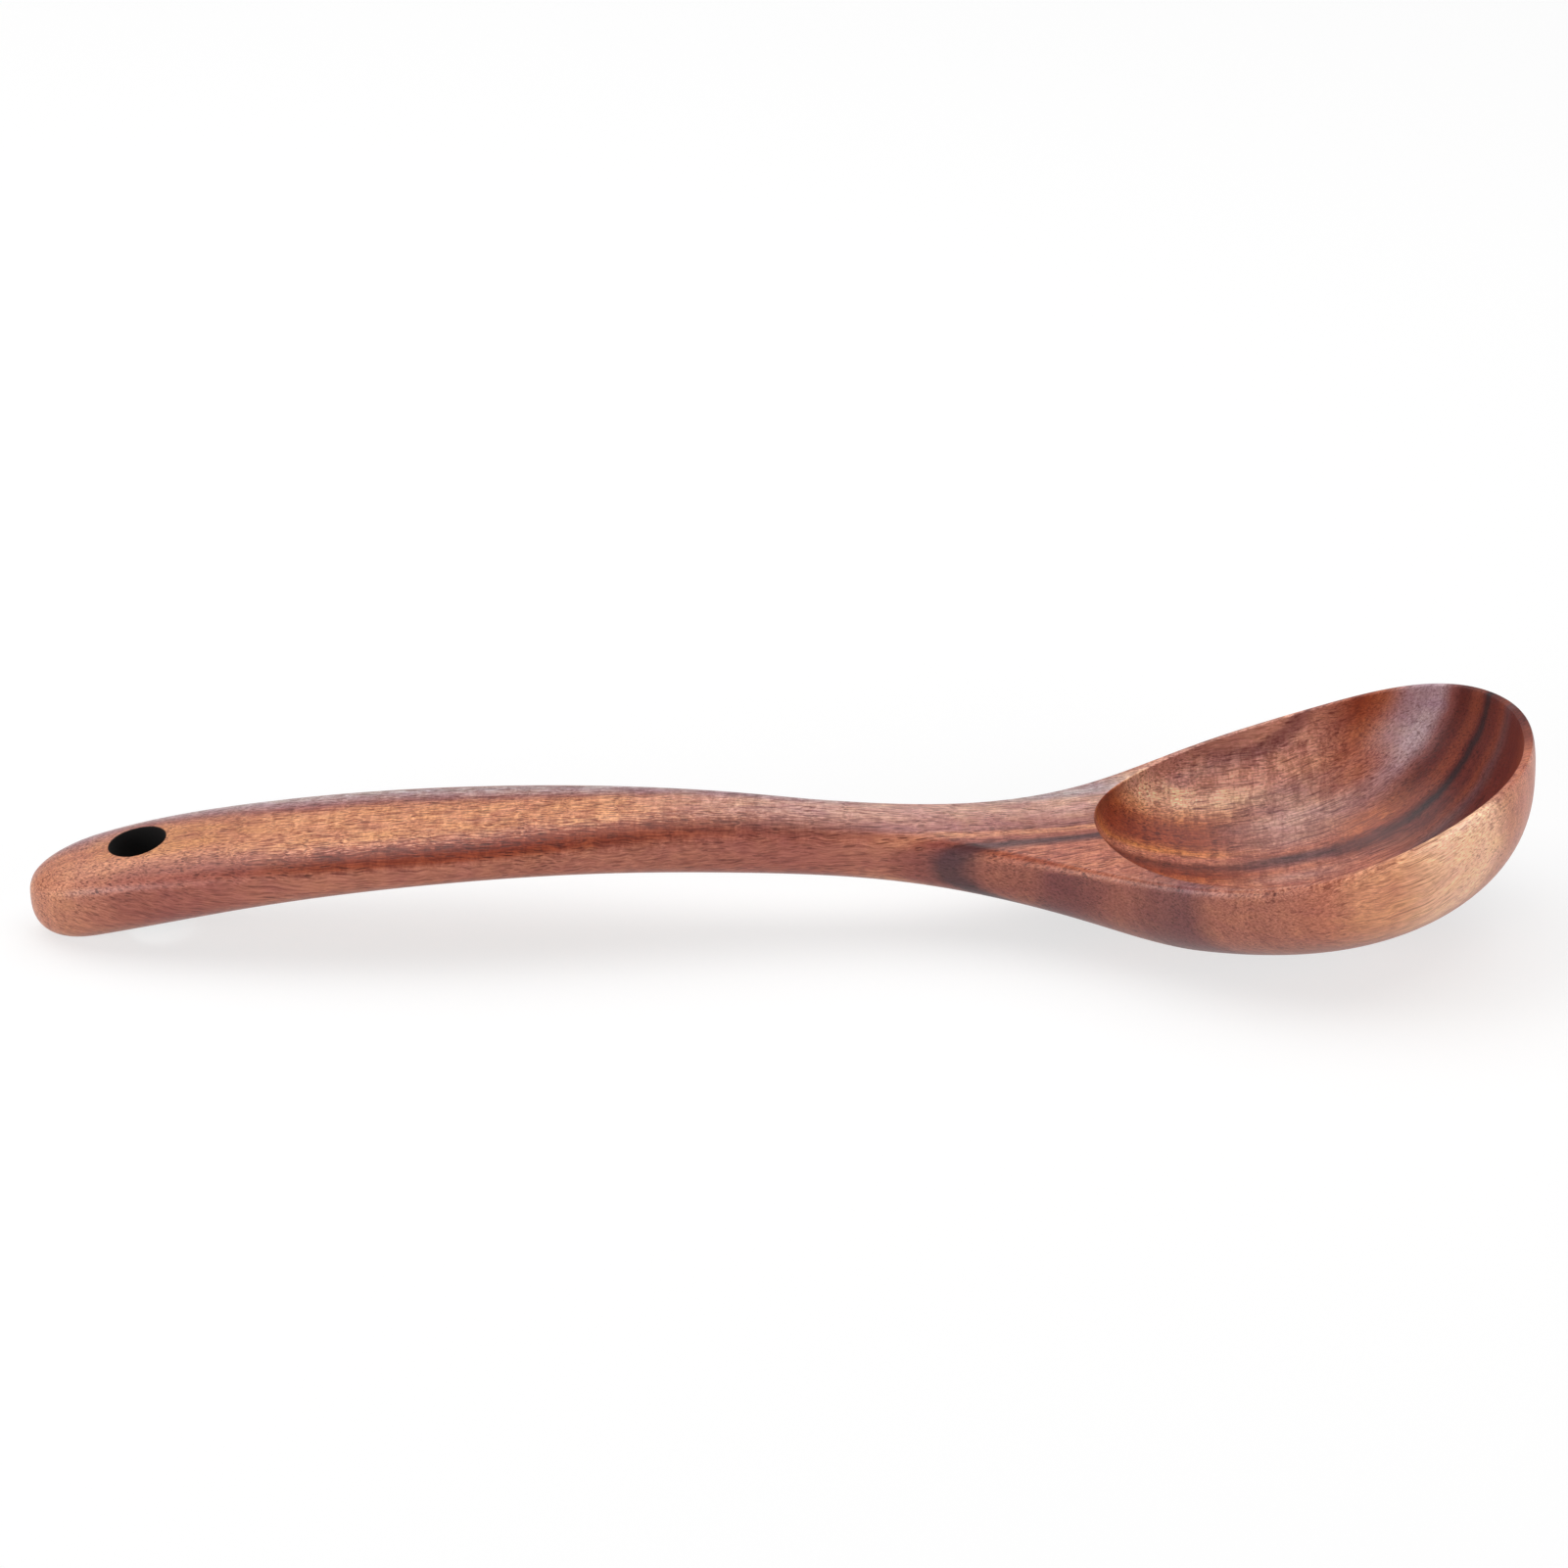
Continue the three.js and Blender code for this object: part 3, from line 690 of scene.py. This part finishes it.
        # golden and rosy patches, streaks, fibres and dark grain lines, then bars and ticks of curly figure
        colour = self.stained(colour, "patches", self.pattern("patches", self.point))
        colour = self.stained(colour, "streaks", self.streaks)
        colour = self.stained(colour, "hairs", self.hairs)
        colour = self.stained(colour, "grain", self.pattern("grain", self.fibre))
        waves = []
        for name, eased in (("bars", True), ("ticks", False)):
            weight = acacia[name]["weight"]
            noise = self.pattern(name, self.point)
            waves.append(self.ranged(noise, acacia[name]["bounds"], (-weight, weight), eased))
        shown = self.calc("MULTIPLY", self.strength("figure"), self.upward)
        curly = self.calc("MULTIPLY_ADD", self.calc("ADD", *waves), shown, noiseMiddle)
        return self.stained(colour, "figure", curly)

    def paintedLight(self, colour):
        # painted shade on the handle's edges, where the surface turns from the top to the side
        fray = self.calc("SUBTRACT", self.hairs, noiseMiddle)
        ragged = self.calc("MULTIPLY_ADD", fray, acacia["ragged"], self.turnZ)
        stops = [(up, linear(tint)) for up, tint in acacia["edgeShadeTints"]]
        tone = self.add("ValToRGB", {"stops": stops}, Fac=ragged)
        colour = self.tinted(colour, self.strength("edges"), tone)

        # painted highlight on the edges of the heel and the rim where they face outwards: y along the sides,
        # x round the nose
        middle = acacia["noseMiddle"]
        ahead = self.ranged(self.x, (middle, halfLength), (0, halfLength - middle))
        outward = self.calc("MULTIPLY_ADD", self.y, self.turnY, self.calc("MULTIPLY", ahead, self.turnX))
        stops = [(up, (v, v, v, 1)) for up, v in acacia["paleHighlightFacing"]]
        edge = self.add("ValToRGB", {"stops": stops}, Fac=ragged)
        paleHighlight = self.calc("MULTIPLY", edge, self.strength("paleHighlight"))
        paleHighlight = self.calc("MULTIPLY", paleHighlight, self.ranged(outward, acacia["outside"]))
        colour = self.tinted(colour, paleHighlight, (*acacia["paleHighlightTint"], 1))

        # painted shade on the sides of the shoulder and painted grey sheen on the far rim
        shadedFlank = self.calc("MULTIPLY", self.calc("SUBTRACT", 1, self.upward), self.strength("flankShade"))
        colour = self.tinted(colour, shadedFlank, linear(acacia["flankShadeTint"]))
        # painted sheen: the far rim greyed where it faces +Y
        farSide = self.ranged(self.turnY, acacia["rimSheenFacing"], eased=True)
        rimSheen = self.calc("MULTIPLY", farSide, self.strength("rim"))
        return self.tinted(colour, rimSheen, linear(acacia["rimSheenTint"]))

    def pores(self):
        # how deep the pores are, some deeper than others, in thicker and thinner drifts
        pore = acacia["pore"]
        cells = self.add("TexVoronoi", Vector=self.scaled(self.fibre, pore["size"]), Scale=1)
        amount = self.ranged(cells.outputs["Distance"], pore["border"], eased=True)
        chance = self.add("SeparateColor", Color=cells.outputs["Color"])
        depth = self.ranged(chance, (0, 1), (pore["faintest"], 1))
        drift = self.ranged(self.pattern("drifts", self.fibre), pore["drifts"], (pore["thinnest"], 1))
        for part in (drift, depth, self.strength("pores"), self.calm):
            amount = self.calc("MULTIPLY", amount, part)
        return amount

    def inBore(self):
        # 1 inside the drilled bore and 0 outside: radius about its axis, which is square to the handle's top
        slope, mouth, _ = boreAxis()
        upright = self.add("VectorRotate", {"rotation_type": "Y_AXIS"}, Vector=self.point, Center=mouth,
                           Angle=math.atan(slope))
        spoke = self.add("VectorMath", {"operation": "SUBTRACT"}, i0=upright, i1=mouth)
        spoke = self.multiplied(spoke, (1, 1, 0))
        radius = self.add("VectorMath", {"operation": "LENGTH"}, i0=spoke)
        border = [hole["diameter"] / 2 + past for past in acacia["bore"]["border"]]
        return self.ranged(radius.outputs["Value"], border)


def oiledAcacia():
    material, tree = newMaterial("oiled_acacia_satin")
    wood = Wood(tree)
    pores, inBore = wood.pores(), wood.inBore()
    colour = wood.paintedLight(wood.figured(wood.banded()))
    colour = wood.tinted(colour, pores, linear(acacia["pore"]["tint"]))
    # painted shade: the bore nearly black inside
    colour = wood.tinted(colour, inBore, linear(acacia["bore"]["tint"]))

    satin, relief = acacia["satin"], acacia["relief"]
    roughness = wood.ranged(wood.streaks, satin["bounds"], satin["roughness"])
    roughness = wood.ranged(inBore, (0, 1), (roughness, acacia["bore"]["roughness"]))
    height = wood.calc("MULTIPLY_ADD", wood.hairs, relief["hairs"], wood.calc("MULTIPLY", pores, -1))
    bump = wood.add("Bump", Strength=relief["strength"], Distance=relief["height"], Height=height)
    shader = wood.add("BsdfPrincipled", Base_Color=colour, Roughness=roughness, IOR=satin["refraction"],
                      Specular_IOR_Level=satin["specular"], Normal=bump)
    wood.add("OutputMaterial", Surface=shader)
    print("wood ready:", len(tree.nodes), "nodes")
    return material


ladlePiece.data.materials.append(oiledAcacia())

# studio, in metres: a pale floor, two wide panels high behind the ladle and a low one on each side of the
# camera
studio = {
    "floorSize": 8.0, "floorColour": "#d2d1cf", "floorGlow": 1.05, "whiteShare": 0.65, "floorShare": 0.9,
    "skyShare": 0.3, "ambient": 0.06, "aimHeight": 0.02,
    "panels": [
        {"name": "leftBehind", "size": 1.2, "distance": 1.3, "azimuth": -118, "elevation": 56, "power": 7.5},
        {"name": "overhead", "size": 1.5, "distance": 1.3, "azimuth": 140, "elevation": 70, "power": 11},
        {"name": "right", "size": 0.7, "distance": 1.2, "azimuth": 57, "elevation": 12, "power": 5.5},
        {"name": "left", "size": 0.6, "distance": 1.2, "azimuth": -48, "elevation": 9, "power": 7},
    ],
}


def direction(azimuth, elevation):
    # unit vector towards a place that is some degrees round from -Y and some degrees up
    around, above = math.radians(azimuth), math.radians(elevation)
    return Vector((math.sin(around) * math.cos(above), -math.cos(around) * math.cos(above), math.sin(above)))


def throughLens(tree, mirrorShare):
    # 1 for rays straight from the camera, the given share for mirrored rays, and 0 for all others
    path = addNode(tree, "LightPath")
    return addNode(tree, "Math", {"operation": "MULTIPLY_ADD"}, i0=path.outputs["Is Glossy Ray"],
                   i1=mirrorShare, i2=path.outputs["Is Camera Ray"])


def buildFloor():
    half = studio["floorSize"] / 2
    data = bpy.data.meshes.new("floor")
    corners = [(-half, -half, 0), (half, -half, 0), (half, half, 0), (-half, half, 0)]
    data.from_pydata(corners, [], [(0, 1, 2, 3)])
    floor = bpy.data.objects.new("floor", data)
    bpy.context.scene.collection.objects.link(floor)
    material, tree = newMaterial("matt_white_paper")
    seen = throughLens(tree, studio["floorShare"])
    colour = addNode(tree, "MixRGB", Fac=seen, Color1=linear(studio["floorColour"]), Color2=white)
    paper = addNode(tree, "BsdfDiffuse", Color=colour)
    glow = addNode(tree, "Emission", Color=white, Strength=studio["floorGlow"])
    glowing = addNode(tree, "Math", {"operation": "MULTIPLY"}, i0=seen, i1=studio["whiteShare"])
    addNode(tree, "OutputMaterial", Surface=addNode(tree, "MixShader", i0=glowing, i1=paper, i2=glow))
    data.materials.append(material)


def buildSky():
    world = bpy.data.worlds.new("studio")
    bpy.context.scene.world = world
    world.use_nodes = True
    tree = world.node_tree
    tree.nodes.clear()
    soft = addNode(tree, "Background", Color=white, Strength=studio["ambient"])
    plain = addNode(tree, "Background", Color=white, Strength=1.0)
    seen = throughLens(tree, studio["skyShare"])
    addNode(tree, "OutputWorld", Surface=addNode(tree, "MixShader", i0=seen, i1=soft, i2=plain))


def buildPanels():
    for panel in studio["panels"]:
        light = bpy.data.lights.new(panel["name"], "AREA")
        light.shape = "SQUARE"
        light.size = panel["size"]
        light.energy = panel["power"]
        lamp = bpy.data.objects.new(panel["name"], light)
        towards = direction(panel["azimuth"], panel["elevation"])
        lamp.location = towards * panel["distance"] + Vector((0, 0, studio["aimHeight"]))
        lamp.rotation_euler = towards.to_track_quat("Z", "Y").to_euler()
        bpy.context.scene.collection.objects.link(lamp)
    print("studio built:", len(studio["panels"]), "panels")


# camera: looks across the ladle from -Y, 28 degrees above the table; lengths in millimetres
view = {"distance": 1200.0, "target": (1.29, 0.0, 33.65), "elevation": 27.98, "azimuth": -0.02, "roll": -0.4,
        "focalPixels": 5781.75, "framePixels": 1601, "sensor": 36.0, "nearest": 50.0}


def buildCamera():
    azimuth, roll = math.radians(view["azimuth"]), math.radians(view["roll"])
    back = direction(view["azimuth"], view["elevation"])
    level = Vector((math.cos(azimuth), math.sin(azimuth), 0))
    upright = back.cross(level)
    right = math.cos(roll) * level + math.sin(roll) * upright
    up = math.cos(roll) * upright - math.sin(roll) * level
    data = bpy.data.cameras.new("camera")
    data.sensor_width = view["sensor"]
    data.lens = view["sensor"] * view["focalPixels"] / view["framePixels"]
    data.clip_start = view["nearest"] * mm
    camera = bpy.data.objects.new("camera", data)
    eye = (Vector(view["target"]) + back * view["distance"]) * mm
    turn = Matrix((right, up, back)).transposed().to_4x4()
    camera.matrix_world = Matrix.Translation(eye) @ turn
    bpy.context.scene.collection.objects.link(camera)
    bpy.context.scene.camera = camera
    print("camera placed")


buildFloor()
buildSky()
buildPanels()
buildCamera()
bpy.context.scene.view_settings.view_transform = "Standard"
